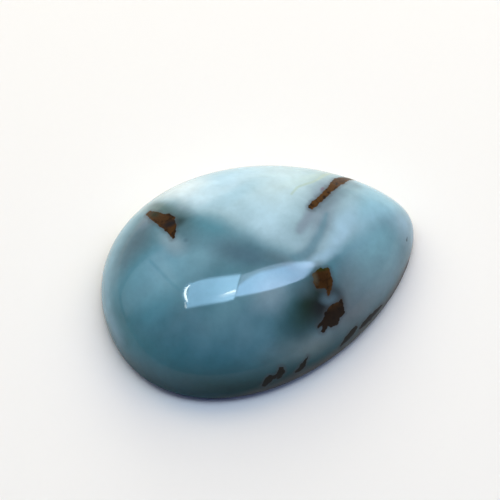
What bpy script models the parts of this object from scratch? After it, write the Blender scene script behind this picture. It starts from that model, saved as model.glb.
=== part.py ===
# A larimar cabochon: one polished pear-shaped stone with a steep-sided dome and a flat back.
# Units are metres and +Z is up. The flat back lies on z = 0, the rounded tip points along +X,
# and the origin is on the back, under the middle of the stone.

import math

import bmesh
import bpy
from mathutils import Matrix

MM = 0.001

# The stone's overall size.
LENGTH = 28.0 * MM
WIDTH = 20.7 * MM
THICKNESS = 7.6 * MM

# The outline seen from above. The taper draws the sides in towards the tip, the shoulders keep
# them full in the middle of the stone, the end flattening broadens both ends, and the bow is the
# slight curve that hand grinding left in the long axis.
TAPER = 0.29
SHOULDERS = 0.21
END_FLATTENING = 0.06
BOW = -0.25 * MM

# The girdle is the widest line of the stone. Below it a rounded bevel runs in to the flat back,
# whose outline is a little smaller, and leaves it at a plain angle.
GIRDLE_HEIGHT = 0.75 * MM
BACK_SHARE = 0.95
BEVEL_START = math.radians(24.0)

# The dome rises from the girdle to its crown. An exponent of 1 would make it elliptical, and one
# under 1 gives the steeper side walls and broader top of a high-domed cabochon. The crown lies
# nearer the blunt end.
DOME_EXPONENT = 0.85
CROWN_X = -1.5 * MM

# How finely the surfaces are divided. The back's inner rings are shares of its own outline.
AROUND = 120
BEVEL_STEPS = 6
DOME_STEPS = 24
BACK_RINGS = (0.65, 0.30)

# The stone's middle blue, its polish, and the angle past which an edge is shaded as an edge.
LARIMAR_BLUE = (0.17, 0.35, 0.43, 1.0)
POLISH_ROUGHNESS = 0.12
SHARP_ANGLE = math.radians(18.0)

QUARTER_TURN = 0.5 * math.pi


def clear_scene():
    for item in list(bpy.data.objects):
        bpy.data.objects.remove(item, do_unlink=True)


def larimar_material():
    material = bpy.data.materials.new("larimar")
    material.use_nodes = True
    shader = material.node_tree.nodes["Principled BSDF"]
    shader.inputs["Base Color"].default_value = LARIMAR_BLUE
    shader.inputs["Roughness"].default_value = POLISH_ROUGHNESS
    shader.inputs["Metallic"].default_value = 0.0
    return material


def pear_outline():
    """Points around the girdle, anticlockwise from the tip, with the origin in their middle."""
    points = []
    for step in range(AROUND):
        turn = 2.0 * math.pi * step / AROUND
        along = (math.cos(turn) - END_FLATTENING * math.cos(3.0 * turn)) / (1.0 - END_FLATTENING)
        fullness = 1.0 - TAPER * math.cos(turn) - SHOULDERS * math.cos(2.0 * turn)
        across = 0.5 * WIDTH * math.sin(turn) * fullness
        points.append((0.5 * LENGTH * along, across, BOW * math.cos(2.0 * turn)))
    to_width = WIDTH / (max(y for _, y, _ in points) - min(y for _, y, _ in points))
    points = [(x, y * to_width + bow) for x, y, bow in points]
    middle = 0.5 * (max(y for _, y in points) + min(y for _, y in points))
    return [(x, y - middle) for x, y in points]


def bevel_profile():
    """Share of the girdle's outline, and height, from the back's edge up to the girdle."""
    stations = []
    for step in range(BEVEL_STEPS + 1):
        angle = BEVEL_START + (QUARTER_TURN - BEVEL_START) * step / BEVEL_STEPS
        inward = (1.0 - math.sin(angle)) / (1.0 - math.sin(BEVEL_START))
        rise = 1.0 - math.cos(angle) / math.cos(BEVEL_START)
        stations.append((1.0 - (1.0 - BACK_SHARE) * inward, GIRDLE_HEIGHT * rise))
    return stations


def dome_profile():
    """Share of the girdle's outline, and height, from the girdle to just below the crown."""
    stations = []
    for step in range(DOME_STEPS):
        angle = QUARTER_TURN * step / DOME_STEPS
        rise = (THICKNESS - GIRDLE_HEIGHT) * math.sin(angle)
        stations.append((math.cos(angle) ** DOME_EXPONENT, GIRDLE_HEIGHT + rise))
    return stations


def extrude_ring(mesh, face, shrink, rise, axis_x):
    """Extrude a face that ends the stone so far, draw it in towards an upright axis and lift it."""
    end = bmesh.ops.extrude_discrete_faces(mesh, faces=[face])["faces"][0]
    ring = list(end.verts)
    to_axis = Matrix.Translation((-axis_x, 0.0, 0.0))
    bmesh.ops.scale(mesh, vec=(shrink, shrink, 1.0), space=to_axis, verts=ring)
    bmesh.ops.translate(mesh, vec=(0.0, 0.0, rise), verts=ring)
    return end


def follow_profile(mesh, face, stations, axis_x):
    """Extrude a face once for each further station of a profile."""
    for (share, height), (next_share, next_height) in zip(stations, stations[1:]):
        face = extrude_ring(mesh, face, next_share / share, next_height - height, axis_x)
    return face


def pear_face(mesh):
    """A disc at the height of the back, whose rim is moved to the back's pear outline."""
    bmesh.ops.create_circle(mesh, cap_ends=True, segments=AROUND, radius=0.5 * WIDTH)
    face = mesh.faces[:][0]
    for vert, (x, y) in zip(face.verts, pear_outline()):
        vert.co = (x * BACK_SHARE, y * BACK_SHARE, 0.0)
    return face


def close_end(mesh, face, centre):
    """Divide an end face into a fan about one point, and put that point in its place."""
    point = bmesh.ops.poke(mesh, faces=[face])["verts"][0]
    point.co = centre


def build_stone():
    mesh = bmesh.new()
    girdle = follow_profile(mesh, pear_face(mesh), bevel_profile(), 0.0)
    top = follow_profile(mesh, girdle, dome_profile(), CROWN_X)
    close_end(mesh, top, (CROWN_X, 0.0, THICKNESS))

    back_edge = [edge for edge in mesh.edges if edge.is_boundary]
    back = bmesh.ops.holes_fill(mesh, edges=back_edge)["faces"][0]
    share = 1.0
    for inner_share in BACK_RINGS:
        back = extrude_ring(mesh, back, inner_share / share, 0.0, 0.0)
        share = inner_share
    close_end(mesh, back, (0.0, 0.0, 0.0))
    bmesh.ops.recalc_face_normals(mesh, faces=mesh.faces)

    data = bpy.data.meshes.new("larimar_cabochon")
    mesh.to_mesh(data)
    mesh.free()
    data.shade_smooth()
    data.set_sharp_from_angle(angle=SHARP_ANGLE)
    data.materials.append(larimar_material())
    stone = bpy.data.objects.new("larimar_cabochon", data)
    bpy.context.scene.collection.objects.link(stone)


clear_scene()
build_stone()
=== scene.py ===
# A larimar cabochon lying on a pale table: one polished pear-shaped stone.
# Lengths are metres. +X runs to the rounded tip, +Z up out of the dome.

import math

import bpy
from mathutils import Matrix, Vector


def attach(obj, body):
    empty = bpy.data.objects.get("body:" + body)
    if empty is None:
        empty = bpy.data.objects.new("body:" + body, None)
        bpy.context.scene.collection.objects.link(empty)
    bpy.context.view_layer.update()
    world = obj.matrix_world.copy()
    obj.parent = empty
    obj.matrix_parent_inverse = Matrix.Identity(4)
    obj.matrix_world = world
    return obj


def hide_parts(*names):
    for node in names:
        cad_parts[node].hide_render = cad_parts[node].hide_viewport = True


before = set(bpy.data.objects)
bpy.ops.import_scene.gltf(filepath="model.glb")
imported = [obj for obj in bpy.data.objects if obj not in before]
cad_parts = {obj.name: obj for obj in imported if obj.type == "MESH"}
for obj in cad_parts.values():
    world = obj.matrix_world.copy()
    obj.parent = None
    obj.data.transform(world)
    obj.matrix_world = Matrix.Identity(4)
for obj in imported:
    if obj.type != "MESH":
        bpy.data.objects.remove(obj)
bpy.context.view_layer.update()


# The camera. It looks down at about 60 degrees from beside the stone's blunt end, as a hand-held
# close-up does, from 170 mm away.
MM = 0.001
CAMERA_TURN = math.radians(-23.61)
CAMERA_HEIGHT = math.radians(59.59)
CAMERA_DISTANCE = 170.0 * MM
LOOK_AT = Vector((-0.43, 1.32, 3.0)) * MM
VIEW_WIDTH = 42.47 * MM
SENSOR = 36.0
NEAREST_SEEN = 0.001
FARTHEST_SEEN = 5.0

forward = Vector((
    -math.sin(CAMERA_TURN) * math.cos(CAMERA_HEIGHT),
    math.cos(CAMERA_TURN) * math.cos(CAMERA_HEIGHT),
    -math.sin(CAMERA_HEIGHT),
))
to_right = Vector((math.cos(CAMERA_TURN), math.sin(CAMERA_TURN), 0.0))
upward = to_right.cross(forward)

camera_data = bpy.data.cameras.new("camera")
camera_data.sensor_width = SENSOR
camera_data.lens = SENSOR * CAMERA_DISTANCE / VIEW_WIDTH
camera_data.clip_start = NEAREST_SEEN
camera_data.clip_end = FARTHEST_SEEN
camera = bpy.data.objects.new("camera", camera_data)
camera.location = LOOK_AT - forward * CAMERA_DISTANCE
camera.rotation_euler = Matrix((to_right, upward, -forward)).transposed().to_euler()
bpy.context.scene.collection.objects.link(camera)
bpy.context.scene.camera = camera


# The light. Soft lamps stand mostly behind the stone and one cool daylight lamp hangs above it.
# They light the stone and the table, and the polish doesn't mirror them.
LAMPS = (
    # name, height angle, clockwise turn from behind the stone, side, light in watts
    ("lamp_behind_high", 55, 0, 0.25, (0.54, 0.38, 0.26)),
    ("lamp_behind_low", 20, 0, 0.30, (1.15, 1.08, 0.90)),
    ("lamp_behind_left", 40, -45, 0.30, (0.69, 0.65, 0.49)),
    ("lamp_behind_right", 40, 45, 0.30, (0.87, 0.76, 0.54)),
    ("lamp_left", 50, -90, 0.30, (0.28, 0.29, 0.30)),
    ("lamp_right", 50, 90, 0.30, (0.30, 0.37, 0.50)),
    ("lamp_front", 50, 180, 0.30, (0.05, 0.07, 0.20)),
)
AWAY = Vector((-math.sin(CAMERA_TURN), math.cos(CAMERA_TURN), 0.0))
STRAIGHT_UP = Vector((0.0, 0.0, 1.0))
LAMP_DISTANCE = 0.50
ROOF_HEIGHT = 0.60

# The daylight lamp's light per area. Its place and sides are shares of the roof's height.
DAYLIGHT = (3.15, 3.90, 4.55)
DAYLIGHT_RIGHT = 0.05
DAYLIGHT_AWAY = 0.11
DAYLIGHT_UP = 1.01
DAYLIGHT_LENGTH = 0.95
DAYLIGHT_WIDTH = 0.32

bpy.context.scene.view_settings.view_transform = "Standard"


def soft_lamp(name, height_angle, turn, side, watts):
    """A square lamp aimed at the stone."""
    around = AWAY * math.cos(math.radians(turn)) + to_right * math.sin(math.radians(turn))
    rise = math.radians(height_angle)
    direction = around * math.cos(rise) + STRAIGHT_UP * math.sin(rise)
    data = bpy.data.lights.new(name, "AREA")
    data.shape = "SQUARE"
    data.size = side
    data.energy = max(watts)
    data.color = [part / data.energy for part in watts]
    light = bpy.data.objects.new(name, data)
    light.location = direction * LAMP_DISTANCE
    light.rotation_euler = direction.to_track_quat("Z", "Y").to_euler()
    light.visible_camera = False
    light.visible_glossy = False
    bpy.context.scene.collection.objects.link(light)


for lamp in LAMPS:
    soft_lamp(*lamp)

daylight_data = bpy.data.lights.new("roof_daylight", "AREA")
daylight_data.shape = "RECTANGLE"
daylight_data.size = DAYLIGHT_LENGTH * ROOF_HEIGHT
daylight_data.size_y = DAYLIGHT_WIDTH * ROOF_HEIGHT
daylight_data.energy = max(DAYLIGHT) * math.pi * daylight_data.size * daylight_data.size_y
daylight_data.color = [part / max(DAYLIGHT) for part in DAYLIGHT]
daylight = bpy.data.objects.new("roof_daylight", daylight_data)
over_stone = to_right * DAYLIGHT_RIGHT + AWAY * DAYLIGHT_AWAY + STRAIGHT_UP * DAYLIGHT_UP
daylight.location = over_stone * ROOF_HEIGHT
daylight.rotation_euler = Matrix((to_right, AWAY, STRAIGHT_UP)).transposed().to_euler()
daylight.visible_camera = False
daylight.visible_glossy = False
bpy.context.scene.collection.objects.link(daylight)


# The room that the polish mirrors: grey walls, a darker roof, and in the roof a window of two
# panes with a bright gap at its left end. Places on the roof are shares of its height, to the
# right and away from the camera.
WALL_LIGHT = (0.88, 0.88, 0.89)
LOW_WALL_LIGHT = (0.62, 0.62, 0.62)
ROOF_LIGHT = (0.08, 0.10, 0.12)
FAR_WALL_LIGHT = (1.15, 1.25, 1.30)
CORNER_LIGHT = (0.10, 0.12, 0.14)
LEFT_PANE_LIGHT = (4.4, 7.9, 11.4)
SKY_LIGHT = (7.3, 12.4, 17.4)
RIGHT_PANE_LIGHT = (6.2, 10.2, 15.6)
HAZY_LIGHT = (3.4, 4.6, 6.2)
LILAC_LIGHT = (6.8, 8.8, 13.0)
SUNLIT_LIGHT = (27.0, 31.0, 32.0)
LEFT_PANE = (
    # a point on the edge, the way inwards, softness
    ((-0.470, -0.124), (0.985, -0.173), 0.008),
    ((-0.413, 0.201), (0.270, -0.963), 0.016),
    ((-0.295, 0.238), (0.000, -1.000), 0.028),
    ((0.029, 0.000), (-1.000, 0.000), 0.007),
    ((-0.170, -0.093), (-0.092, 0.996), 0.032),
    ((-0.043, -0.100), (-0.370, 0.929), 0.020),
)
RIGHT_PANE = (
    ((0.035, 0.000), (1.000, 0.000), 0.007),
    ((0.036, -0.074), (-0.160, 0.987), 0.016),
    ((0.360, -0.036), (0.000, 1.000), 0.020),
    ((0.580, 0.030), (-0.780, 0.626), 0.060),
    ((0.100, 0.250), (0.330, -0.940), 0.014),
    ((0.200, 0.272), (0.000, -1.000), 0.014),
    ((0.380, 0.235), (-0.330, -0.940), 0.020),
    ((0.565, 0.100), (-1.000, 0.000), 0.070),
)
BRIGHT_PART = (
    ((0.044, 0.112), (0.766, -0.643), 0.026),
    ((0.300, 0.222), (0.000, -1.000), 0.026),
    ((0.300, -0.030), (-0.100, 1.000), 0.030),
)
WEDGE = (
    ((-0.050, 0.026), (0.240, -0.970), 0.006),
    ((-0.130, 0.000), (1.000, 0.000), 0.090),
)
BRIGHT_GAP = ((
    # a bend, half width
    ((-0.409, 0.190), 0.004),
    ((-0.450, 0.153), 0.011),
    ((-0.470, 0.092), 0.014),
    ((-0.461, 0.034), 0.013),
    ((-0.442, -0.022), 0.005),
),)
GAP_END = ((((-0.476, -0.030), 0.006), ((-0.472, -0.110), 0.009)),)
WEDGE_RIM = ((((-0.062, 0.018), 0.001), ((0.014, 0.040), 0.011)),)
FAR_WALL = (
    ((-1.137, 0.830), (-0.177, -0.984), 0.080),
    ((-1.700, 0.050), (0.000, 1.000), 0.350),
    ((-0.530, 0.200), (-0.900, -0.440), 0.080),
)
WALL_CORNER = ((((-1.230, 0.775), 0.012), ((-0.534, 0.150), 0.004)),)
LOWEST_ROOF_RISE = 0.05
GLARE_REACH = 0.060
CORNER_REACH = 0.030
GAP_ENDS_AT = 0.006
GAP_FULL_AT = -0.002
BRIGHT_LINES = ((BRIGHT_GAP, 1.0), (GAP_END, 0.35), (WEDGE_RIM, 1.0))

# How strongly each softer thing shows, and how the light changes along the two panes.
CORNER_STRENGTH = 0.90
GLARE_STRENGTH = 0.45
WEDGE_STRENGTH = 0.50
WEDGE_GLARE_STRENGTH = 0.28
LILAC_STRENGTH = 0.80
TO_THE_RIGHT = (1.0, 0.0, 0.0)
BRIGHTENING = ((-0.155, 0.0, 0.0), TO_THE_RIGHT, 0.185)
LILAC_END = ((0.360, 0.0, 0.0), TO_THE_RIGHT, 0.160)
LOW_WALL_RISE = -0.20
ROOF_RISE = 0.80


def feed(tree, value, socket):
    """Link a socket to another one, or give it a plain value."""
    if isinstance(value, bpy.types.NodeSocket):
        tree.links.new(value, socket)
    elif socket.type == "RGBA":
        socket.default_value = (*value, 1.0)
    else:
        socket.default_value = value


def maths(tree, operation, first, second=0.0, third=0.0):
    """The result of one sum on plain values."""
    node = tree.nodes.new("ShaderNodeMath")
    node.operation = operation
    for value, socket in zip((first, second, third), node.inputs):
        feed(tree, value, socket)
    return node.outputs[0]


def vector_maths(tree, operation, first, second=(0.0, 0.0, 0.0), third=(0.0, 0.0, 0.0)):
    """The result of one sum on places or colours."""
    node = tree.nodes.new("ShaderNodeVectorMath")
    node.operation = operation
    feed(tree, first, node.inputs[0])
    if operation == "SCALE":
        feed(tree, second, node.inputs["Scale"])
    else:
        feed(tree, second, node.inputs[1])
        feed(tree, third, node.inputs[2])
    gives_value = operation in ("DOT_PRODUCT", "LENGTH", "DISTANCE")
    return node.outputs["Value" if gives_value else "Vector"]


def ramp(tree, value, zero_at, one_at):
    """A smooth step from 0, where a value is at its first limit, to 1 at its second."""
    node = tree.nodes.new("ShaderNodeMapRange")
    node.interpolation_type = "SMOOTHSTEP"
    feed(tree, value, node.inputs["Value"])
    feed(tree, zero_at, node.inputs["From Min"])
    feed(tree, one_at, node.inputs["From Max"])
    return node.outputs["Result"]


def tinted(tree, under, over, mask, strength=1.0):
    """One colour laid over another through a mask."""
    factor = maths(tree, "MULTIPLY", mask, strength)
    node = tree.nodes.new("ShaderNodeMix")
    node.data_type = "RGBA"
    feed(tree, factor, node.inputs["Factor"])
    feed(tree, under, node.inputs["A"])
    feed(tree, over, node.inputs["B"])
    return node.outputs["Result"]


def new_group(name, takes, gives):
    """An empty shader node group, and the sockets that it is given and fills."""
    group = bpy.data.node_groups.new(name, "ShaderNodeTree")
    for label, kind in takes:
        group.interface.new_socket(label, in_out="INPUT", socket_type="NodeSocket" + kind)
    for label, kind in gives:
        group.interface.new_socket(label, in_out="OUTPUT", socket_type="NodeSocket" + kind)
    given = group.nodes.new("NodeGroupInput").outputs
    result = group.nodes.new("NodeGroupOutput").inputs
    return group, given, result


def bank_group():
    """All that lies on one side of a soft-edged plane."""
    tree, given, result = new_group("bank", (
        ("Position", "Vector"), ("Edge Point", "Vector"), ("Facing", "Vector"), ("Softness", "Float"),
    ), (("Mask", "Float"),))
    offset = vector_maths(tree, "SUBTRACT", given["Position"], given["Edge Point"])
    facing = vector_maths(tree, "NORMALIZE", given["Facing"])
    depth = vector_maths(tree, "DOT_PRODUCT", offset, facing)
    outer = maths(tree, "MULTIPLY", given["Softness"], -1.0)
    feed(tree, ramp(tree, depth, outer, given["Softness"]), result["Mask"])
    return tree


def seam_group():
    """How far a place lies outside a straight seam between two points, each with a half width."""
    tree, given, result = new_group("seam", (
        ("Position", "Vector"), ("Start", "Vector"), ("End", "Vector"),
        ("Start Width", "Float"), ("End Width", "Float"),
    ), (("Distance", "Float"),))
    offset = vector_maths(tree, "SUBTRACT", given["Position"], given["Start"])
    run = vector_maths(tree, "SUBTRACT", given["End"], given["Start"])
    along = vector_maths(tree, "DOT_PRODUCT", offset, run)
    whole = vector_maths(tree, "DOT_PRODUCT", run, run)
    part = maths(tree, "MINIMUM", maths(tree, "DIVIDE", along, whole), 1.0)
    part = maths(tree, "MAXIMUM", part, 0.0)
    off_line = vector_maths(tree, "DISTANCE", offset, vector_maths(tree, "SCALE", run, part))
    widening = maths(tree, "SUBTRACT", given["End Width"], given["Start Width"])
    width = maths(tree, "MULTIPLY_ADD", part, widening, given["Start Width"])
    feed(tree, maths(tree, "SUBTRACT", off_line, width), result["Distance"])
    return tree


bank_shape = bank_group()
seam_shape = seam_group()


def use_group(tree, shape, *values):
    """A group placed in a tree with its own values. Gives the group's first output."""
    node = tree.nodes.new("ShaderNodeGroup")
    node.node_tree = shape
    for value, socket in zip(values, node.inputs):
        feed(tree, value, socket)
    return node.outputs[0]


def bank(tree, position, edge_point, facing, softness):
    """A mask of all that lies past a soft edge, on the side that it faces."""
    return use_group(tree, bank_shape, position, edge_point, facing, softness)


def seams(tree, position, runs):
    """The distance outside the nearest of several seams. A run is points, each with a half width."""
    nearest = None
    for run in runs:
        for (start, start_width), (end, end_width) in zip(run, run[1:]):
            distance = use_group(tree, seam_shape, position, start, end, start_width, end_width)
            nearest = distance if nearest is None else maths(tree, "MINIMUM", nearest, distance)
    return nearest


def roof_seams(tree, position, runs):
    """The same for seams on the roof, whose places have no height."""
    return seams(tree, position, [[((x, y, 0.0), width) for (x, y), width in run] for run in runs])


def inside(tree, position, edges):
    """The part of the roof that lies within all of some edges."""
    mask = 1.0
    for (x, y), (inward_x, inward_y), softness in edges:
        side = bank(tree, position, (x, y, 0.0), (inward_x, inward_y, 0.0), softness)
        mask = maths(tree, "MULTIPLY", side, mask)
    return mask


room = bpy.data.worlds.new("room")
room.use_nodes = True
room.cycles.sampling_method = "NONE"
bpy.context.scene.world = room
tree = room.node_tree

direction = tree.nodes.new("ShaderNodeTexCoord").outputs["Generated"]
rise = vector_maths(tree, "DOT_PRODUCT", direction, STRAIGHT_UP)
per_height = vector_maths(tree, "SCALE", direction, maths(tree, "DIVIDE", 1.0, rise))
roof_place = tree.nodes.new("ShaderNodeCombineXYZ")
feed(tree, vector_maths(tree, "DOT_PRODUCT", per_height, to_right), roof_place.inputs["X"])
feed(tree, vector_maths(tree, "DOT_PRODUCT", per_height, AWAY), roof_place.inputs["Y"])
roof_place = roof_place.outputs[0]
on_roof = maths(tree, "GREATER_THAN", rise, LOWEST_ROOF_RISE)

mirrored = tinted(tree, LOW_WALL_LIGHT, ROOF_LIGHT, ramp(tree, rise, LOW_WALL_RISE, ROOF_RISE))
far_wall = maths(tree, "MULTIPLY", inside(tree, roof_place, FAR_WALL), on_roof)
mirrored = tinted(tree, mirrored, FAR_WALL_LIGHT, far_wall)
corner = ramp(tree, roof_seams(tree, roof_place, WALL_CORNER), CORNER_REACH, 0.0)
corner = maths(tree, "MULTIPLY", corner, on_roof)
mirrored = tinted(tree, mirrored, CORNER_LIGHT, corner, CORNER_STRENGTH)
glare = ramp(tree, roof_seams(tree, roof_place, BRIGHT_GAP), GLARE_REACH, 0.0)
glare = maths(tree, "MULTIPLY", glare, on_roof)
mirrored = tinted(tree, mirrored, LEFT_PANE_LIGHT, glare, GLARE_STRENGTH)

# The left pane brightens to the right. A wedge of clearer sky with a sunlit rim ends it.
left_pane = maths(tree, "MULTIPLY", inside(tree, roof_place, LEFT_PANE), on_roof)
brighter = bank(tree, roof_place, *BRIGHTENING)
mirrored = tinted(tree, mirrored, tinted(tree, LEFT_PANE_LIGHT, SKY_LIGHT, brighter), left_pane)
wedge = maths(tree, "MULTIPLY", inside(tree, roof_place, WEDGE), left_pane)
mirrored = tinted(tree, mirrored, SKY_LIGHT, wedge, WEDGE_STRENGTH)
wedge_glare = ramp(tree, roof_seams(tree, roof_place, WEDGE_RIM), GLARE_REACH, 0.0)
wedge_glare = maths(tree, "MULTIPLY", wedge_glare, wedge)
mirrored = tinted(tree, mirrored, SUNLIT_LIGHT, wedge_glare, WEDGE_GLARE_STRENGTH)

# The right pane is hazy around a brighter part and turns lilac towards its right end.
right_pane = maths(tree, "MULTIPLY", inside(tree, roof_place, RIGHT_PANE), on_roof)
mirrored = tinted(tree, mirrored, HAZY_LIGHT, right_pane)
bright_part = maths(tree, "MULTIPLY", inside(tree, roof_place, BRIGHT_PART), right_pane)
mirrored = tinted(tree, mirrored, RIGHT_PANE_LIGHT, bright_part)
lilac_end = maths(tree, "MULTIPLY", bank(tree, roof_place, *LILAC_END), right_pane)
mirrored = tinted(tree, mirrored, LILAC_LIGHT, lilac_end, LILAC_STRENGTH)

# Sunlight falls through the gap at the left end and along the wedge's rim.
for runs, strength in BRIGHT_LINES:
    gap = ramp(tree, roof_seams(tree, roof_place, runs), GAP_ENDS_AT, GAP_FULL_AT)
    mirrored = tinted(tree, mirrored, SUNLIT_LIGHT, maths(tree, "MULTIPLY", gap, on_roof), strength)

# The camera sees plain walls, the polish mirrors the room, and the room gives no other light.
in_polish = tree.nodes.new("ShaderNodeBackground")
feed(tree, mirrored, in_polish.inputs["Color"])
walls = tree.nodes["Background"]
feed(tree, WALL_LIGHT, walls.inputs["Color"])
no_light = tree.nodes.new("ShaderNodeBackground")
no_light.inputs["Strength"].default_value = 0.0
ray = tree.nodes.new("ShaderNodeLightPath")
unseen = tree.nodes.new("ShaderNodeMixShader")
feed(tree, ray.outputs["Is Glossy Ray"], unseen.inputs[0])
feed(tree, no_light.outputs[0], unseen.inputs[1])
feed(tree, in_polish.outputs[0], unseen.inputs[2])
seen = tree.nodes.new("ShaderNodeMixShader")
feed(tree, ray.outputs["Is Camera Ray"], seen.inputs[0])
feed(tree, unseen.outputs[0], seen.inputs[1])
feed(tree, walls.outputs[0], seen.inputs[2])
feed(tree, seen.outputs[0], tree.nodes["World Output"].inputs["Surface"])


# The table: a sheet of smooth white card, far wider than the view. It lies a hair under the
# stone's back, so that the two faces don't share one plane.
CARD_SIDE = 3.0
CARD_GAP = 0.00002
CARD_WHITE = (0.86, 0.85, 0.845, 1.0)
CARD_ROUGHNESS = 0.8
CARD_SHINE = 0.2

bpy.ops.mesh.primitive_plane_add(size=CARD_SIDE, location=(0.0, 0.0, -CARD_GAP))
card = bpy.context.object
card.name = "table_card"
card_finish = bpy.data.materials.new("white card")
card_finish.use_nodes = True
card_shader = card_finish.node_tree.nodes["Principled BSDF"]
card_shader.inputs["Base Color"].default_value = CARD_WHITE
card_shader.inputs["Roughness"].default_value = CARD_ROUGHNESS
card_shader.inputs["Specular IOR Level"].default_value = CARD_SHINE
card.data.materials.append(card_finish)


# The stone: one piece of larimar, ground to a pear outline, domed and rounded at the girdle on
# laps and polished all over. It lies on its flat back.
LENGTH = 28.0 * MM
WIDTH = 20.7 * MM
THICKNESS = 7.6 * MM
TAPER = 0.29
SHOULDERS = 0.21
END_FLATTENING = 0.06
BOW = -0.25 * MM
GIRDLE_HEIGHT = 0.75 * MM
BACK_SHARE = 0.95
BEVEL_START = math.radians(24.0)
DOME_EXPONENT = 0.85
CROWN_X = -1.5 * MM
EDGE_ANGLE = math.radians(15.0)
QUARTER_TURN = 0.5 * math.pi
AROUND = 360
BEVEL_STEPS = 12
DOME_STEPS = 84
BACK_RINGS = (0.86, 0.70, 0.52, 0.34, 0.18, 0.06)
FACING_DOWN = -0.99


def girdle_outline():
    """Points around the girdle, anticlockwise from the tip."""
    points = []
    for step in range(AROUND):
        turn = 2.0 * math.pi * step / AROUND
        along = (math.cos(turn) - END_FLATTENING * math.cos(3.0 * turn)) / (1.0 - END_FLATTENING)
        fullness = 1.0 - TAPER * math.cos(turn) - SHOULDERS * math.cos(2.0 * turn)
        across = 0.5 * WIDTH * math.sin(turn) * fullness
        points.append((0.5 * LENGTH * along, across, BOW * math.cos(2.0 * turn)))
    to_width = WIDTH / (max(y for _, y, _ in points) - min(y for _, y, _ in points))
    points = [(x, y * to_width + bow) for x, y, bow in points]
    middle = 0.5 * (max(y for _, y in points) + min(y for _, y in points))
    return [(x, y - middle) for x, y in points]


def draw_ring(share, next_share, rise, axis_x):
    """Extrude the selected end face once, lift it and draw it in towards an upright axis."""
    bpy.ops.mesh.extrude_region_move(TRANSFORM_OT_translate={"value": (0.0, 0.0, rise)})
    shrink = next_share / share
    bpy.ops.transform.resize(value=(shrink, shrink, 1.0), center_override=(axis_x, 0.0, 0.0))


bpy.ops.object.select_all(action="DESELECT")
bpy.ops.mesh.primitive_circle_add(vertices=AROUND, radius=0.5 * WIDTH, fill_type="NGON")
stone = bpy.context.object
stone.name = "larimar_stone"
for vert, (x, y) in zip(stone.data.vertices, girdle_outline()):
    vert.co = (x * BACK_SHARE, y * BACK_SHARE, 0.0)

# The pear face is drawn up along the bevel to the girdle, and then along the dome to its crown.
bpy.ops.object.mode_set(mode="EDIT")
bpy.ops.mesh.select_mode(type="FACE")
bpy.ops.mesh.select_all(action="SELECT")
share = BACK_SHARE
height = 0.0
for step in range(1, BEVEL_STEPS + 1):
    angle = BEVEL_START + (QUARTER_TURN - BEVEL_START) * step / BEVEL_STEPS
    inward = (1.0 - math.sin(angle)) / (1.0 - math.sin(BEVEL_START))
    next_share = 1.0 - (1.0 - BACK_SHARE) * inward
    next_height = GIRDLE_HEIGHT * (1.0 - math.cos(angle) / math.cos(BEVEL_START))
    draw_ring(share, next_share, next_height - height, 0.0)
    share = next_share
    height = next_height
for step in range(1, DOME_STEPS):
    angle = QUARTER_TURN * step / DOME_STEPS
    next_share = math.cos(angle) ** DOME_EXPONENT
    next_height = GIRDLE_HEIGHT + (THICKNESS - GIRDLE_HEIGHT) * math.sin(angle)
    draw_ring(share, next_share, next_height - height, CROWN_X)
    share = next_share
    height = next_height
bpy.ops.mesh.poke()
bpy.ops.mesh.select_all(action="DESELECT")
bpy.ops.object.mode_set(mode="OBJECT")
stone.data.vertices[-1].co = (CROWN_X, 0.0, THICKNESS)

# The flat back is divided into rings about its middle.
for face in stone.data.polygons:
    face.select = face.normal.z < FACING_DOWN or len(face.vertices) == AROUND
bpy.ops.object.mode_set(mode="EDIT")
share = 1.0
for next_share in BACK_RINGS:
    draw_ring(share, next_share, 0.0, 0.0)
    share = next_share
bpy.ops.mesh.poke()
bpy.ops.mesh.select_all(action="SELECT")
bpy.ops.mesh.normals_make_consistent(inside=False)
bpy.ops.mesh.select_all(action="DESELECT")
bpy.ops.object.mode_set(mode="OBJECT")
bpy.ops.object.shade_smooth_by_angle(angle=EDGE_ANGLE)


# The stone's finish. Larimar is clouded blue and white through its depth, with dark pools and a
# few ragged brown seams of the rock that it grew in. All places are millimetres in the stone,
# and each cloud or seam on the dome is given by its place seen from above.
TEAL = (0.08, 0.20, 0.255)
LARIMAR_BLUE = (0.13, 0.25, 0.32)
SHADED_DEEP_TEAL = (0.01, 0.17, 0.21)
CLEAR_BLUE = (0.08, 0.28, 0.37)
SKY_BLUE = (0.14, 0.31, 0.42)
SEA_BLUE = (0.13, 0.28, 0.34)
GREY_BLUE = (0.19, 0.38, 0.48)
PALE_BLUE = (0.23, 0.44, 0.57)
GLASS_BLUE = (0.21, 0.54, 0.67)
ICE_BLUE = (0.36, 0.56, 0.71)
ICE_WHITE = (0.46, 0.67, 0.80)
CREAM = (0.60, 0.72, 0.80)
GREENISH_CREAM = (0.50, 0.66, 0.74)
SNOW = (0.80, 0.80, 0.80)
MILK_WHITE = (0.29, 0.44, 0.52)
LEMON = (0.36, 0.47, 0.40)
LILAC_GREY = (0.24, 0.35, 0.42)
DUSKY_LILAC = (0.17, 0.21, 0.27)
PURPLE = (0.18, 0.13, 0.19)
WARM_GREY = (0.28, 0.31, 0.29)
STORM = (0.10, 0.165, 0.205)
SLATE = (0.07, 0.14, 0.19)
DARK_SLATE = (0.065, 0.10, 0.13)
RUST_HAZE = (0.15, 0.065, 0.03)
OLIVE = (0.05, 0.09, 0.07)
POOL_GREEN = (0.03, 0.09, 0.10)
POOL_BLACK = (0.015, 0.03, 0.02)
INK = (0.012, 0.012, 0.014)
BEVEL_SHADE_GREY = (0.105, 0.10, 0.085)
RIM_SHADE_GREEN = (0.005, 0.012, 0.006)
RUST_BROWN = (0.072, 0.034, 0.011)
DARK_BROWN = (0.016, 0.009, 0.005)
BROWN_IN_SHADE = (0.012, 0.007, 0.005)
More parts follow.
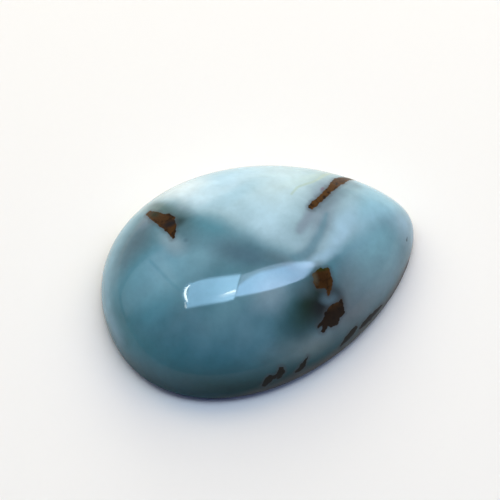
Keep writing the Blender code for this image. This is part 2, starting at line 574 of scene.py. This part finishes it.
BROWN_BLOT = (0.025, 0.012, 0.005)
CHESTNUT = (0.034, 0.014, 0.004)
TAN = (0.090, 0.085, 0.060)
MOSS = (0.026, 0.038, 0.006)
LOW_SHADE_BROWN = (0.003, 0.004, 0.002)
SEAM_SHADE = (0.060, 0.060, 0.065)
SPECK_BLUE = (0.02, 0.06, 0.09)
CLOUD_SOFTNESS = 0.8
BLUE_CLOUDS = (
    # colour, strength, place, half size, turn in degrees
    # pale drifts by the blunt end
    (SKY_BLUE, 0.80, (-9.0, 1.0), (3.0, 1.5, 4.0), 10),
    (CLEAR_BLUE, 0.60, (-10.0, -1.5), (2.0, 1.5, 4.0), 25),
    (CLEAR_BLUE, 0.60, (-11.5, 2.0), (2.0, 2.5, 4.0), 5),
    # a pale rim at the blunt end, with a dark arc inside it
    (GREY_BLUE, 0.95, (-11.0, 4.5), (4.0, 1.5, 4.0), 40),
    (DARK_SLATE, 0.70, (-9.5, 4.5), (2.75, 1.25, 4.0), 40),
    # drifts beside the crown
    (STORM, 0.80, (-4.5, 1.5), (2.5, 1.75, 6.0), -50),
    (GREY_BLUE, 0.60, (-6.5, 0.0), (3.5, 1.25, 6.0), 10),
    (CLEAR_BLUE, 0.50, (-3.5, 2.5), (1.5, 1.75, 6.0), -50),
    # a dark strip along the white
    (SLATE, 0.90, (-2.0, -1.5), (3.0, 1.0, 3.0), -45),
    (STORM, 0.65, (0.5, -3.0), (1.5, 0.5, 3.0), -45),
    # a lilac patch below the first seam
    (LILAC_GREY, 0.75, (-7.0, 2.5), (0.75, 1.25, 3.0), 15),
    # grey and glassy blue towards the tip, with a warm haze at the near wall
    (GREY_BLUE, 0.90, (8.5, -3.5), (2.5, 2.25, 6.0), 30),
    (GLASS_BLUE, 0.80, (8.5, -5.0), (3.0, 1.25, 3.0), 40),
    (RUST_HAZE, 0.42, (6.2, -6.8), (5.5, 1.75, 4.0), 35),
    (ICE_BLUE, 0.60, (13.0, -1.5), (1.75, 1.75, 3.0), 0),
    # a lilac grey cloud on the near side, sea blue about it and warm grey near the girdle
    (LILAC_GREY, 0.80, (-1.5, -5.2), (1.5, 1.5, 2.0), 10),
    (SEA_BLUE, 0.55, (-5.0, -5.0), (4.0, 1.0, 3.0), 25),
    (WARM_GREY, 0.75, (-0.3, -9.4), (3.25, 1.0, 1.5), -10),
    (SEA_BLUE, 0.55, (-3.5, -8.0), (3.0, 1.25, 3.0), -20),
)
DEPTHS_AND_NEAR_SHADE = (
    # colour, strength, a point on the edge, the way in, softness
    # painted shade, partly the stone's own deep teal: darker low on the near wall
    (SHADED_DEEP_TEAL, 0.82, (-5.0, -8.0, 4.0), (-0.25, -0.35, -0.90), 2.5),
    (CLEAR_BLUE, 0.90, (-13.0, -3.5, 3.2), (-0.75, -0.40, -0.55), 1.4),
)
WHITE_EDGES = (
    # the white lies past the first edge or the second, and past the third
    # a point on the edge, the way in, softness
    ((-0.65, 0.00, 0.0), (0.79, 0.60, 0.0), 1.2),
    ((-5.20, 5.10, 0.0), (0.65, 0.70, 0.0), 0.8),
    ((6.85, -3.00, 0.0), (-0.35, 0.93, 0.0), 0.7),
)
WHITE_CLOUDS = (
    # colour, strength, place, half size, turn in degrees
    # pale drifts and a bluer one on the far shoulder
    (SNOW, 0.50, (-1.0, 6.0), (2.25, 0.75, 3.0), 15),
    (SKY_BLUE, 0.50, (1.0, 5.0), (2.5, 0.6, 3.0), 20),
    (SNOW, 0.35, (-4.5, 8.5), (1.5, 0.75, 3.0), 10),
    # yellow beside the lemon line
    (LEMON, 0.50, (5.2, 4.2), (2.25, 0.6, 2.5), 5),
    (LEMON, 0.40, (7.8, 4.8), (1.25, 0.6, 2.0), 25),
    # ice and cream, from the far side down to the crown
    (ICE_BLUE, 0.86, (-0.5, 7.0), (5.0, 2.0, 3.0), 10),
    (CREAM, 0.84, (-3.4, 7.5), (1.75, 1.75, 3.0), 0),
    (ICE_WHITE, 0.45, (-0.2, 4.0), (3.75, 1.5, 5.0), -40),
    (ICE_WHITE, 0.64, (0.0, 0.2), (1.5, 2.5, 3.0), -65),
    (GREENISH_CREAM, 0.70, (4.0, 4.8), (2.5, 3.0, 3.0), -40),
    # bluer towards the tip
    (PALE_BLUE, 0.90, (11.0, 0.5), (3.5, 3.5, 6.0), 0),
    # lilac, grey and ice blue about the two flows
    (DUSKY_LILAC, 0.78, (6.4, 1.2), (3.25, 1.25, 3.0), 55),
    (STORM, 0.60, (3.0, -3.6), (1.0, 1.0, 3.0), 0),
    (ICE_BLUE, 0.70, (6.7, -2.0), (2.75, 0.75, 3.0), 50),
    (LILAC_GREY, 0.60, (8.5, 0.9), (2.0, 1.0, 3.0), 30),
)
POOLS = (
    # colour, strength, place, half size, turn in degrees
    # a grey patch and a dark one beside the first seam
    (GREY_BLUE, 0.55, (-6.0, 6.2), (1.0, 1.0, 1.5), 0),
    (INK, 0.60, (-5.6, 4.1), (0.45, 0.45, 1.5), 0),
    # painted reflection: a pale tail of the window's band above the third seam
    (ICE_BLUE, 0.70, (4.0, -3.7), (1.5, 0.4, 2.0), 5),
    (LILAC_GREY, 0.75, (3.2, -4.1), (0.6, 0.25, 1.0), 0),
    # the dark pool
    (POOL_GREEN, 0.85, (0.1, -7.4), (2.25, 1.25, 3.0), 30),
    (POOL_BLACK, 0.95, (1.6, -6.6), (2.25, 1.0, 2.5), 40),
    (INK, 0.90, (2.2, -7.2), (1.25, 0.75, 2.0), 35),
    (STORM, 0.50, (1.2, -5.6), (1.0, 0.75, 2.0), 10),
    (INK, 0.84, (3.8, -6.8), (0.85, 0.75, 2.0), 0),
    # shadows about the first seam
    (OLIVE, 0.75, (-6.5, 6.7), (1.75, 0.75, 2.0), -65),
    (POOL_BLACK, 0.52, (-5.4, 5.0), (1.0, 1.75, 2.0), 0),
    (DUSKY_LILAC, 0.45, (-8.0, 6.0), (0.6, 0.8, 2.0), -30),
    # a grey veil between the third seam and the fourth
    (STORM, 0.85, (3.3, -6.8), (0.85, 0.4, 1.0), -10),
)
PAINTED_RIM_SHADE = (
    # colour, strength, a point on the edge, the way in, softness
    # painted shade: a near-black rim low on the near wall
    (RIM_SHADE_GREEN, 0.78, (-8.0, -8.0, 3.1), (-0.10, -0.30, -0.95), 2.2),
    # painted shade: dark grey on the near bevel, by the table
    (BEVEL_SHADE_GREY, 0.85, (3.0, -9.0, 1.45), (0.10, -0.25, -0.95), 0.75),
)
GREY_FLOW = (
    # x, y and half width at each bend
    ((5.9, -0.2, 0.10), (5.2, -1.0, 0.26), (4.5, -1.8, 0.30), (3.8, -2.3, 0.32),
     (3.2, -2.8, 0.34), (2.5, -3.1, 0.36), (1.7, -3.1, 0.36)),
)
LILAC_FLOW = (((4.9, 0.6, 0.16), (4.2, 0.0, 0.26), (3.4, -0.6, 0.34), (3.0, -1.0, 0.24)),)
# A painted shadow along the second brown seam.
PAINTED_SEAM_SHADOW = (((5.3, 0.8, 0.30), (6.6, 1.4, 0.45), (7.8, 2.0, 0.50), (9.8, 2.8, 0.55)),)
LEMON_LINE = (
    ((4.0, 2.8, 0.02), (4.9, 3.4, 0.04), (5.8, 3.6, 0.06), (6.4, 3.7, 0.07), (7.1, 4.0, 0.07),
     (7.7, 4.4, 0.09), (8.6, 4.9, 0.10)),
)
PALE_RIM = (((-13.7, -1.5, 0.4), (-13.4, 2.3, 0.8), (-12.3, 4.6, 0.9), (-8.6, 7.9, 0.7)),)
DOME_SEAMS = (
    # x, y and half width at each bend
    # the first seam, by the blunt end
    ((-7.35, 6.85, 0.30), (-7.05, 5.90, 0.50), (-6.60, 4.90, 0.70), (-6.50, 4.10, 0.60),
     (-6.60, 3.40, 0.34), (-6.75, 2.75, 0.08)),
    ((-6.35, 5.20, 0.42), (-6.00, 4.75, 0.26)),
    # the second, which runs over the far side
    ((4.95, 0.90, 0.28), (6.05, 1.50, 0.30), (6.70, 1.85, 0.28), (7.50, 2.40, 0.35),
     (8.15, 2.90, 0.40), (8.80, 3.40, 0.52), (9.85, 3.90, 0.36), (10.85, 4.05, 0.14)),
    # the third, beside the dark pool
    ((3.20, -4.95, 0.50), (2.95, -5.50, 0.70)),
    ((2.75, -5.05, 0.34), (2.65, -5.75, 0.36)),
    ((3.70, -4.90, 0.34), (3.60, -5.55, 0.40), (3.35, -6.10, 0.36), (3.20, -6.50, 0.18)),
    # the fourth, below it
    ((4.10, -7.10, 0.08), (4.00, -7.40, 0.26), (3.65, -7.75, 0.64)),
    ((3.50, -7.75, 0.68), (3.00, -7.90, 0.74), (2.90, -8.20, 0.68)),
    ((2.60, -7.95, 0.52), (2.40, -8.10, 0.42), (2.00, -8.50, 0.28), (1.75, -8.70, 0.22)),
    ((2.35, -8.10, 0.24), (1.50, -8.40, 0.15)),
)
NEAR_WALL_SEAMS = (
    # x, height and half width at each bend
    # two lobes joined by a neck
    ((-4.10, 1.55, 0.26), (-3.85, 1.90, 0.36), (-3.65, 2.30, 0.26)),
    ((-3.60, 2.10, 0.22), (-2.90, 2.20, 0.16)),
    ((-2.85, 2.00, 0.26), (-2.65, 2.40, 0.36), (-2.60, 2.75, 0.24)),
    # thinner flecks towards the tip
    ((-1.20, 1.70, 0.22), (-0.70, 2.00, 0.32), (-0.10, 2.75, 0.06)),
    ((3.20, 1.55, 0.14), (3.80, 1.80, 0.36), (4.40, 2.00, 0.40), (4.85, 2.15, 0.24)),
    ((5.30, 1.65, 0.14), (5.85, 1.75, 0.34), (6.50, 1.65, 0.38), (7.20, 1.60, 0.28),
     (7.90, 1.50, 0.14)),
    ((8.40, 1.00, 0.06), (9.95, 0.82, 0.16), (10.90, 0.88, 0.28), (11.50, 0.96, 0.30),
     (12.10, 1.02, 0.14)),
)
BACK_SEAMS = (
    # x, y and half width at each bend, where the seams come out through the back
    ((-7.6, 6.4, 0.25), (-6.4, 4.4, 0.55), (-5.6, 3.2, 0.45), (-4.9, 1.2, 0.10)),
    ((3.6, -8.6, 0.45), (2.8, -6.6, 0.60), (1.6, -5.2, 0.30), (0.8, -3.4, 0.06)),
    ((11.2, -4.2, 0.20), (9.2, -3.2, 0.40), (7.2, -3.0, 0.10)),
    ((10.4, 3.4, 0.25), (8.6, 2.0, 0.45), (6.0, 1.6, 0.12)),
)
SPECK = (((12.25, -3.05, 0.11), (12.40, -2.80, 0.03)),)
SEAM_CLOUDS = (
    # colour, strength, place, half size, turn in degrees
    # dark blots in the first seam
    (BROWN_BLOT, 0.45, (-6.6, 4.6), (0.9, 1.6, 1.5), 0),
    (INK, 0.92, (-6.35, 4.35), (0.60, 0.32, 0.8), -10),
    (POOL_BLACK, 0.70, (-7.05, 6.30), (0.35, 0.50, 0.9), 25),
    # the third seam: a darker middle, a painted reflection in tan at its left corner, and green along
    # its top
    (CHESTNUT, 0.75, (3.10, -5.40), (0.75, 1.00, 1.0), 0),
    (TAN, 0.70, (2.50, -5.00), (0.30, 0.55, 0.8), 0),
    (MOSS, 0.85, (3.60, -4.50), (0.75, 0.25, 0.6), 0),
)
SPOTS = (
    # colour, strength, place, half size, turn in degrees
    # a purple spot by the second seam, and a dark blue one by the first
    (PURPLE, 0.80, (6.80, 2.60), (0.26, 0.14, 0.6), 40),
    (SLATE, 0.60, (-5.90, 2.05), (0.18, 0.18, 0.5), 0),
)
STREAKS = {
    # colour, strength, how far out each ends and where it is full
    "lilac flow": (DUSKY_LILAC, 0.60, 0.42, -0.25),
    "grey flow": (LARIMAR_BLUE, 0.80, 0.36, -0.25),
    "lemon line": (LEMON, 0.60, 0.16, -0.02),
    # painted shadow along the second brown seam
    "seam shadow": (STORM, 0.55, 0.80, -0.30),
    "pale rim": (PALE_BLUE, 0.70, 1.10, -0.50),
}
BENDS = {
    # how fine per millimetre, how far in millimetres, detail, seed
    "slow drift": (0.16, 1.6, 2.0, 3.0),
    "quick drift": (0.7, 0.5, 2.0, 8.0),
    "loose": (0.10, 6.0, 2.0, 1.0),
    "close": (0.6, 0.35, 2.0, 15.0),
    "ragged": (2.0, 0.50, 5.0, 11.0),
}
GRAINS = {
    # how fine per millimetre, detail, roughness, seed
    "blue": (0.22, 3.0, 0.5, 5.0),
    "mottle": (0.85, 4.0, 0.60, 31.0),
    "rust": (1.9, 5.0, 0.65, 21.0),
}
BEND_ROUGHNESS = 0.5
BLUE_FROM = 0.40
BLUE_TO = 0.62
BLUE_STRENGTH = 0.5
MOTTLE_RANGE = 0.44
MOTTLE_LEAST = 0.78

# The middle of the stone, which the painted dark rim of shade leaves out.
CORE_PLACE = (-0.5, 0.0, 0.0)
CORE_HALF_SIZE = (12.6, 9.0, 60.0)
CORE_SOFTNESS = 0.06

# The white cell walls, and the low far side and the back that show them.
CELLS_PER_MM = 0.30
CELL_WALL_REACH = 0.24
CELL_WALL_STRENGTH = 0.40
LOW_FAR_SIDE = ((0.0, 8.8, 2.6), (0.0, 0.75, -0.66), 0.9)
BACK_ENDS_AT = 0.10
BACK_FULL_AT = 0.02

# The dark speck near the tip.
SPECK_ENDS_AT = 0.06
SPECK_FULL_AT = -0.04
SPECK_STRENGTH = 0.85

# The brown seams' edge, the rust in them, the painted shade that darkens them on the near side and
# low down, and the painted shade in dark grey around them.
SEAM_ENDS_AT = 0.03
SEAM_FULL_AT = -0.04
RUST_FROM = 0.34
RUST_TO = 0.56
SHADE_PLACE = (2.6, -9.0, 3.6)
SHADE_HALF_SIZE = (11.0, 1.7, 3.0)
SHADE_TURN = 10.0
SHADE_SOFTNESS = 0.3
SHADE_STRENGTH = 0.88
LOW_STARTS_AT = 3.2
LOW_FULL_AT = 2.6
LOW_STRENGTH = 0.90
SEAM_SHADE_REACH = 0.40
SEAM_SHADE_STRENGTH = 0.45

# The stone's own roughness, the clear coat that stands for its polish, and what the coat loses
# on the brown seams and at the near rim.
NEAR_RIM = ((0.0, -9.0, 2.6), (0.0, -0.30, -0.95), 1.3)
BODY_ROUGHNESS = 0.55
COAT_IOR = 1.42
COAT_LOST = 0.60
POLISHED = 0.04
GROUND = 0.45

outline_mm = [(x / MM, y / MM) for x, y in girdle_outline()]
crown_x = CROWN_X / MM
girdle_z = GIRDLE_HEIGHT / MM
dome_rise = (THICKNESS - GIRDLE_HEIGHT) / MM


def dome_height(x, y):
    """The height of the stone's surface over a place seen from above."""
    reach = math.hypot(x - crown_x, y)
    heading = math.atan2(y, x - crown_x)
    off_heading = [
        abs(math.remainder(math.atan2(rim_y, rim_x - crown_x) - heading, 2.0 * math.pi))
        for rim_x, rim_y in outline_mm
    ]
    rim_x, rim_y = outline_mm[off_heading.index(min(off_heading))]
    share = min(reach / math.hypot(rim_x - crown_x, rim_y), 1.0)
    return girdle_z + dome_rise * math.sin(math.acos(share ** (1.0 / DOME_EXPONENT)))


def near_wall_y(x, height):
    """How far out the near wall is at one x and height."""
    angle = math.asin(max(height - girdle_z, 0.0) / dome_rise)
    share = math.cos(angle) ** DOME_EXPONENT
    ring = [(crown_x + (rim_x - crown_x) * share, rim_y * share) for rim_x, rim_y in outline_mm]
    near_ring = [(ring_x, ring_y) for ring_x, ring_y in ring if ring_y < 0.0]
    off_place = [abs(ring_x - x) for ring_x, ring_y in near_ring]
    return near_ring[off_place.index(min(off_place))][1]


def on_dome(runs):
    """Runs given as seen from above, laid on the dome."""
    return [[((x, y, dome_height(x, y)), width) for x, y, width in run] for run in runs]


def on_near_wall(runs):
    """Runs given by x and height, laid on the near wall."""
    return [[((x, near_wall_y(x, z), z), width) for x, z, width in run] for run in runs]


def on_back(runs):
    """Runs given as seen from above, laid on the flat back."""
    return [[((x, y, 0.0), width) for x, y, width in run] for run in runs]


def cloud_group():
    """A soft-edged ellipsoid: 1 in its middle, 0 outside."""
    tree, given, result = new_group("cloud", (
        ("Position", "Vector"), ("Centre", "Vector"), ("Half Size", "Vector"),
        ("Turn", "Float"), ("Softness", "Float"),
    ), (("Mask", "Float"),))
    offset = vector_maths(tree, "SUBTRACT", given["Position"], given["Centre"])
    turned = tree.nodes.new("ShaderNodeVectorRotate")
    turned.rotation_type = "Z_AXIS"
    turned.invert = True
    feed(tree, offset, turned.inputs["Vector"])
    feed(tree, given["Turn"], turned.inputs["Angle"])
    in_half_sizes = vector_maths(tree, "DIVIDE", turned.outputs[0], given["Half Size"])
    reach = vector_maths(tree, "LENGTH", in_half_sizes)
    outer = maths(tree, "ADD", 1.0, given["Softness"])
    inner = maths(tree, "SUBTRACT", 1.0, given["Softness"])
    feed(tree, ramp(tree, reach, outer, inner), result["Mask"])
    return tree


cloud_shape = cloud_group()


def cloud(tree, position, centre, half_size, turn, softness):
    """A mask of one soft-edged ellipsoid, turned some degrees."""
    return use_group(tree, cloud_shape, position, centre, half_size, math.radians(turn), softness)


def clouded(tree, colour, position, clouds):
    """A colour with soft clouds of other colours laid over it in turn."""
    for over, strength, (x, y), half_size, turn in clouds:
        centre = (x, y, dome_height(x, y))
        mask = cloud(tree, position, centre, half_size, turn, CLOUD_SOFTNESS)
        colour = tinted(tree, colour, over, mask, strength)
    return colour


def deepened(tree, colour, position, banks):
    """A colour with everything past some soft edges tinted in turn."""
    for over, strength, edge_point, facing, softness in banks:
        mask = bank(tree, position, edge_point, facing, softness)
        colour = tinted(tree, colour, over, mask, strength)
    return colour


def streaked(tree, colour, position, runs, kind):
    """A colour with soft streaks of one kind laid over it."""
    over, strength, ends_at, full_at = STREAKS[kind]
    mask = ramp(tree, seams(tree, position, on_dome(runs)), ends_at, full_at)
    return tinted(tree, colour, over, mask, strength)


def grain(tree, position, per_mm, detail, roughness, seed):
    """Smooth noise, as a value and as a colour."""
    node = tree.nodes.new("ShaderNodeTexNoise")
    node.noise_dimensions = "4D"
    feed(tree, position, node.inputs["Vector"])
    feed(tree, seed, node.inputs["W"])
    feed(tree, per_mm, node.inputs["Scale"])
    feed(tree, detail, node.inputs["Detail"])
    feed(tree, roughness, node.inputs["Roughness"])
    return node.outputs


def wandered(tree, position, per_mm, reach, detail, seed):
    """A position moved about by noise, which makes straight shapes wander."""
    noise = grain(tree, position, per_mm, detail, BEND_ROUGHNESS, seed)["Color"]
    centred = vector_maths(tree, "SUBTRACT", noise, (0.5, 0.5, 0.5))
    return vector_maths(tree, "MULTIPLY_ADD", centred, (reach, reach, reach), position)


tree, given, result = new_group("larimar", (("Position", "Vector"),), (
    ("Colour", "Color"), ("Unpolished", "Float"),
))
in_mm = vector_maths(tree, "SCALE", given["Position"], 1.0 / MM)
above_back = vector_maths(tree, "DOT_PRODUCT", in_mm, (0.0, 0.0, 1.0))
drift = wandered(tree, in_mm, *BENDS["slow drift"])
drift = wandered(tree, drift, *BENDS["quick drift"])
loose = wandered(tree, in_mm, *BENDS["loose"])
close = wandered(tree, in_mm, *BENDS["close"])
ragged = wandered(tree, in_mm, *BENDS["ragged"])

# The blue body, lighter and darker in soft drifts, and deeper blue towards the near girdle, which
# is partly painted shade.
base_mask = ramp(tree, grain(tree, loose, *GRAINS["blue"])["Fac"], BLUE_FROM, BLUE_TO)
body = tinted(tree, TEAL, LARIMAR_BLUE, base_mask, BLUE_STRENGTH)
body = clouded(tree, body, drift, BLUE_CLOUDS)
body = deepened(tree, body, drift, DEPTHS_AND_NEAR_SHADE)
body = streaked(tree, body, close, PALE_RIM, "pale rim")

# The white bank, from the far side of the stone down to a point beside the crown.
white_parts = [bank(tree, drift, *edge) for edge in WHITE_EDGES]
white_side = maths(tree, "MAXIMUM", white_parts[0], white_parts[1])
white_tone = clouded(tree, MILK_WHITE, drift, WHITE_CLOUDS)
white_tone = streaked(tree, white_tone, close, LILAC_FLOW, "lilac flow")
white_tone = streaked(tree, white_tone, close, GREY_FLOW, "grey flow")
white_tone = streaked(tree, white_tone, close, LEMON_LINE, "lemon line")
body = tinted(tree, body, white_tone, maths(tree, "MULTIPLY", white_side, white_parts[2]))

# The dark pools, then painted shade: along the second brown seam, and as a dark rim at the near
# girdle.
body = clouded(tree, body, drift, POOLS)
body = streaked(tree, body, close, PAINTED_SEAM_SHADOW, "seam shadow")
rim_shaded = deepened(tree, body, drift, PAINTED_RIM_SHADE)
core = cloud(tree, in_mm, CORE_PLACE, CORE_HALF_SIZE, 0.0, CORE_SOFTNESS)
body = tinted(tree, rim_shaded, body, core)

# White cell walls, as larimar often has, low on the far side and through the back.
cells = tree.nodes.new("ShaderNodeTexVoronoi")
cells.feature = "DISTANCE_TO_EDGE"
feed(tree, drift, cells.inputs["Vector"])
feed(tree, CELLS_PER_MM, cells.inputs["Scale"])
cell_walls = ramp(tree, cells.outputs["Distance"], CELL_WALL_REACH, 0.0)
low_far_side = bank(tree, in_mm, *LOW_FAR_SIDE)
on_the_back = ramp(tree, above_back, BACK_ENDS_AT, BACK_FULL_AT)
out_of_sight = maths(tree, "MAXIMUM", low_far_side, on_the_back)
cell_walls = maths(tree, "MULTIPLY", cell_walls, out_of_sight)
body = tinted(tree, body, CREAM, cell_walls, CELL_WALL_STRENGTH)

# A faint mottle over everything so far, two small spots and a speck.
mottle = grain(tree, drift, *GRAINS["mottle"])["Fac"]
lightness = maths(tree, "MULTIPLY_ADD", mottle, MOTTLE_RANGE, MOTTLE_LEAST)
body = vector_maths(tree, "SCALE", body, lightness)
body = clouded(tree, body, in_mm, SPOTS)
speck = ramp(tree, seams(tree, in_mm, on_dome(SPECK)), SPECK_ENDS_AT, SPECK_FULL_AT)
body = tinted(tree, body, SPECK_BLUE, speck, SPECK_STRENGTH)

# The brown seams, ragged at the edge and mottled inside, with painted shade on the near side and low
# down.
brown_runs = on_dome(DOME_SEAMS) + on_near_wall(NEAR_WALL_SEAMS) + on_back(BACK_SEAMS)
brown_distance = seams(tree, ragged, brown_runs)
brown = ramp(tree, brown_distance, SEAM_ENDS_AT, SEAM_FULL_AT)
rust = grain(tree, in_mm, *GRAINS["rust"])["Fac"]
brown_tone = tinted(tree, DARK_BROWN, RUST_BROWN, ramp(tree, rust, RUST_FROM, RUST_TO))
# painted shade on the brown seams, on the near side and low down
near_side_shade = cloud(tree, in_mm, SHADE_PLACE, SHADE_HALF_SIZE, SHADE_TURN, SHADE_SOFTNESS)
brown_tone = tinted(tree, brown_tone, BROWN_IN_SHADE, near_side_shade, SHADE_STRENGTH)
low_shade = ramp(tree, above_back, LOW_STARTS_AT, LOW_FULL_AT)
brown_tone = tinted(tree, brown_tone, LOW_SHADE_BROWN, low_shade, LOW_STRENGTH)
brown_tone = clouded(tree, brown_tone, in_mm, SEAM_CLOUDS)
# painted shade in dark grey around the seams
seam_shade_mask = ramp(tree, brown_distance, SEAM_SHADE_REACH, 0.0)
body = tinted(tree, body, SEAM_SHADE, seam_shade_mask, SEAM_SHADE_STRENGTH)
body = tinted(tree, body, brown_tone, brown)
near_rim = bank(tree, in_mm, *NEAR_RIM)
unpolished = maths(tree, "MAXIMUM", brown, near_rim)
feed(tree, body, result["Colour"])
feed(tree, unpolished, result["Unpolished"])
larimar_colours = tree


def larimar_finish(name, roughness):
    """Larimar with a clear coat of some roughness, thinner on the seams and at the near rim."""
    material = bpy.data.materials.new(name)
    material.use_nodes = True
    tree = material.node_tree
    shader = tree.nodes["Principled BSDF"]
    place = tree.nodes.new("ShaderNodeTexCoord").outputs["Object"]
    colours = use_group(tree, larimar_colours, place).node.outputs
    feed(tree, colours["Colour"], shader.inputs["Base Color"])
    shader.inputs["Roughness"].default_value = BODY_ROUGHNESS
    shader.inputs["Specular IOR Level"].default_value = 0.0
    shader.inputs["Coat IOR"].default_value = COAT_IOR
    shader.inputs["Coat Roughness"].default_value = roughness
    coat = maths(tree, "MULTIPLY_ADD", colours["Unpolished"], -COAT_LOST, 1.0)
    feed(tree, coat, shader.inputs["Coat Weight"])
    return material


stone.data.materials.append(larimar_finish("polished larimar", POLISHED))
stone.data.materials.append(larimar_finish("ground larimar", GROUND))

# Only the flat back is left ground.
for face in stone.data.polygons:
    if face.normal.z < FACING_DOWN:
        face.material_index = 1

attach(stone, "root")
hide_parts("larimar_cabochon")
